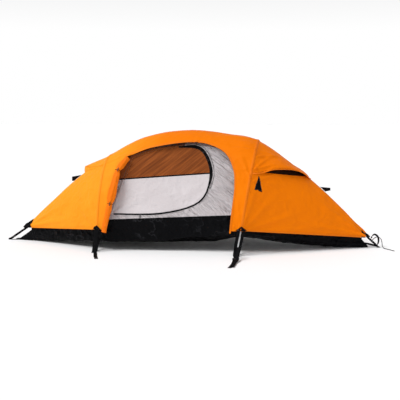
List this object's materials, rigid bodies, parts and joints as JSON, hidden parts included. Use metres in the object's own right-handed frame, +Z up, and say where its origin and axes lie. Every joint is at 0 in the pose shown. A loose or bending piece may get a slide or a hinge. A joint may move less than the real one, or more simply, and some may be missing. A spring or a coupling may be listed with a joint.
{
  "type": "one-person tent",
  "caption": "Low boat-shaped one-person tent with an orange fly sheet on two hoops and a ridge pole, a D-shaped inner door and a black tub floor.",
  "frame": {"origin": "on the ground, midway between the tub's long edges and near the middle of its length, on the floor's underside", "axes": "+X runs along the tent to the head end, +Z is up, and the door faces -Y"},
  "size_m": [2.8541, 1.66, 0.8353],
  "materials": {
    "fly_fabric": "smooth orange coated nylon with a slight sheen",
    "tub_fabric": "black coated nylon with a slight sheen",
    "inner_fabric": "matt light grey breathable nylon",
    "insect_mesh": "fine dark insect mesh",
    "webbing": "matt black woven webbing",
    "black_plastic": "matt black moulded plastic",
    "pole_tube": "smooth dark grey fibreglass tube",
    "metal": "bare satin aluminium",
    "elastic": "woven elastic cord"
  },
  "bodies": {
    "tent": {"tub_floor": "tub_fabric", "inner_foot_end": "inner_fabric", "inner_head_end": "inner_fabric", "inner_near_wall": "inner_fabric", "inner_far_wall": "inner_fabric", "inner_roof": "inner_fabric", "inner_zip_tape": "webbing", "inner_clip_1": "black_plastic", "inner_clip_2": "black_plastic", "fly_near_panel": "fly_fabric", "fly_far_panel": "fly_fabric", "fly_foot_panel": "fly_fabric", "fly_head_panel": "fly_fabric", "foot_vent_hood": "fly_fabric", "head_vent_hood": "fly_fabric", "foot_vent_mesh": "insect_mesh", "head_vent_mesh": "insect_mesh", "fly_zip_tape": "webbing", "fly_door_roll": "fly_fabric", "door_tie_upper": "webbing", "door_tie_lower": "webbing", "foot_hoop_first_section": "pole_tube", "foot_hoop_second_section": "pole_tube", "foot_hoop_ferrule": "metal", "foot_hoop_shock_cord": "elastic", "head_hoop_first_section": "pole_tube", "head_hoop_second_section": "pole_tube", "head_hoop_ferrule": "metal", "head_hoop_shock_cord": "elastic", "ridge_pole_first_section": "pole_tube", "ridge_pole_second_section": "pole_tube", "ridge_pole_ferrule": "metal", "ridge_pole_shock_cord": "elastic", "foot_near_pole_tip": "metal", "foot_far_pole_tip": "metal", "head_near_pole_tip": "metal", "head_far_pole_tip": "metal", "foot_ridge_socket": "black_plastic", "head_ridge_socket": "black_plastic", "foot_near_strap": "webbing", "foot_far_strap": "webbing", "head_near_strap": "webbing", "head_far_strap": "webbing", "foot_tip_strap": "webbing", "head_tip_strap": "webbing", "head_tip_buckle": "black_plastic", "near_guy_patch": "webbing", "far_guy_patch": "webbing", "foot_guy_tab": "webbing", "head_guy_tab": "webbing", "head_guy_cord": "webbing"},
    "inner_door": {"inner_door_mesh": "insect_mesh", "inner_door_fabric": "inner_fabric", "inner_door_seam": "webbing"},
    "inner_slider": {"inner_zip_slider": "metal"},
    "inner_pull": {"inner_zip_pull": "black_plastic"},
    "fly_slider": {"fly_zip_slider": "metal"},
    "near_ladder_lock": {"head_near_ladder_lock": "black_plastic"},
    "far_ladder_lock": {"head_far_ladder_lock": "black_plastic"},
    "foot_buckle": {"foot_tip_buckle": "black_plastic"}
  },
  "joints": [
    {"name": "inner_door_swing", "type": "hinge", "parent": "tent", "child": "inner_door", "pos_m": [-0.52, -0.32774, 0.262], "axis": [-0.293, -0.2996, -0.9079], "range_deg": [0, 70]},
    {"name": "inner_zip_slide", "type": "slide", "parent": "tent", "child": "inner_slider", "axis": [0.9998, 0.006, 0.0182], "range_m": [-0.1, 0.1]},
    {"name": "inner_zip_pull_swing", "type": "hinge", "parent": "inner_slider", "child": "inner_pull", "pos_m": [-0.32332, -0.33677, 0.25919], "axis": [-0.9998, -0.006, -0.0182], "range_deg": [0, 80]},
    {"name": "fly_zip_slide", "type": "slide", "parent": "tent", "child": "fly_slider", "axis": [0.0737, 0.0498, 0.996], "range_m": [-0.015, 0.025]},
    {"name": "near_ladder_lock_slide", "type": "slide", "parent": "tent", "child": "near_ladder_lock", "axis": [0, -1, 0], "range_m": [-0.028, 0.028]},
    {"name": "far_ladder_lock_slide", "type": "slide", "parent": "tent", "child": "far_ladder_lock", "axis": [0, 1, 0], "range_m": [-0.028, 0.028]},
    {"name": "foot_buckle_slide", "type": "slide", "parent": "tent", "child": "foot_buckle", "axis": [-0.8278, 0, -0.561], "range_m": [-0.05, 0.02]}
  ]
}
